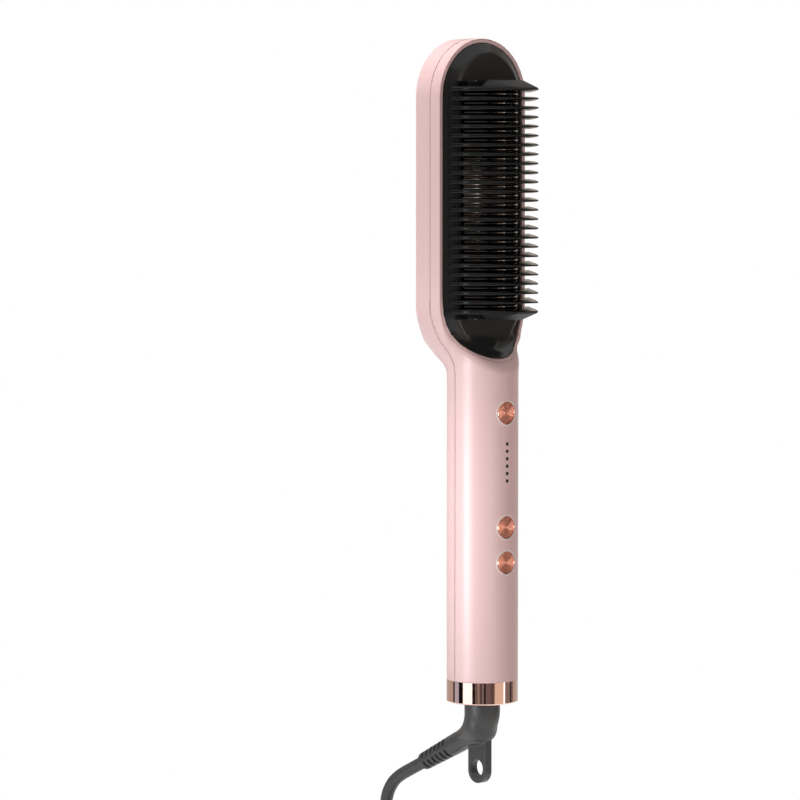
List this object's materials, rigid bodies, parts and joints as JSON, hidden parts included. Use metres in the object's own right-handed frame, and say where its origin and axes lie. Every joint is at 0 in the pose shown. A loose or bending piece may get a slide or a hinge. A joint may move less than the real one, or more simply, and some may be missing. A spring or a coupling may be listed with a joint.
{
  "type": "hair straightening brush",
  "caption": "Heated comb in an oval head on a round handle, with press buttons, lamp windows and a coiled mains cord on a swivelling guard.",
  "frame": {"origin": "on the handle's axis at the middle of the grip, 75 mm above the lower edge of the end ring", "axes": "+Z along the handle towards the head, -Y towards the teeth and buttons, +X to the right seen from the front"},
  "size_m": [0.049, 0.0965, 0.55],
  "materials": {
    "housing": "satin pale pink",
    "black_front": "gloss black, heat resistant",
    "comb": "satin black, heat resistant",
    "heater_plate": "dark coated",
    "ceramic": "stands in for ceramic",
    "mica": "insulating sheet",
    "sheet_metal": "plain",
    "screws": "zinc plated",
    "sensor": "matt",
    "back_frame": "rose gold metallised",
    "back_panel": "printed, gloss",
    "board": "circuit board",
    "electronics": "matt",
    "switches": "matt",
    "lamps": "clear",
    "light_guide": "smoked",
    "wires": "silicone",
    "end_ring": "polished rose gold",
    "cap": "satin",
    "contacts": "plain",
    "buttons": "copper, turned look",
    "plungers": "matt",
    "cord": "matt dark grey",
    "guard": "matt dark grey",
    "pins": "plated"
  },
  "bodies": {
    "brush": {"rear_shell": "housing", "front_shell": "housing", "bezel": "black_front", "comb": "comb", "heater_plate": "heater_plate", "heating_element": "ceramic", "insulating_sheet": "mica", "heater_clamp": "sheet_metal", "clamp_screws": "screws", "comb_screws": "screws", "housing_screws": "screws", "thermal_fuse": "ceramic", "temperature_sensor": "sensor", "back_frame": "back_frame", "back_panel": "back_panel", "control_board": "board", "board_screws": "screws", "power_parts": "electronics", "key_switches": "switches", "lamps": "lamps", "light_guide": "light_guide", "heater_wires": "wires", "supply_wires": "wires", "end_ring": "end_ring", "end_cap": "cap", "contact_holder": "plungers", "contact_springs": "contacts"},
    "power_key": {"power_button": "buttons", "power_plunger": "plungers"},
    "plus_key": {"plus_button": "buttons", "plus_plunger": "plungers"},
    "minus_key": {"minus_button": "buttons", "minus_plunger": "plungers"},
    "swivel": {"swivel_spindle": "cap", "spindle_clip": "screws", "slip_rings": "contacts", "cord_guard": "guard", "cord_lead": "cord", "cord_hank": "cord", "cord_tie": "guard", "cord_tail": "cord", "plug_body": "guard", "plug_pins": "pins"}
  },
  "joints": [
    {"name": "cord_swivel", "type": "hinge", "parent": "brush", "child": "swivel", "pos_m": [0, 0, -0.07], "axis": [0, 0, 1], "continuous": true},
    {"name": "power_press", "type": "slide", "parent": "brush", "child": "power_key", "axis": [0, 1, 0], "range_m": [0, 0.0006], "stiffness_N_per_m": 1500, "springref_m": -0.001},
    {"name": "plus_press", "type": "slide", "parent": "brush", "child": "plus_key", "axis": [0, 1, 0], "range_m": [0, 0.0006], "stiffness_N_per_m": 1500, "springref_m": -0.001},
    {"name": "minus_press", "type": "slide", "parent": "brush", "child": "minus_key", "axis": [0, 1, 0], "range_m": [0, 0.0006], "stiffness_N_per_m": 1500, "springref_m": -0.001}
  ]
}
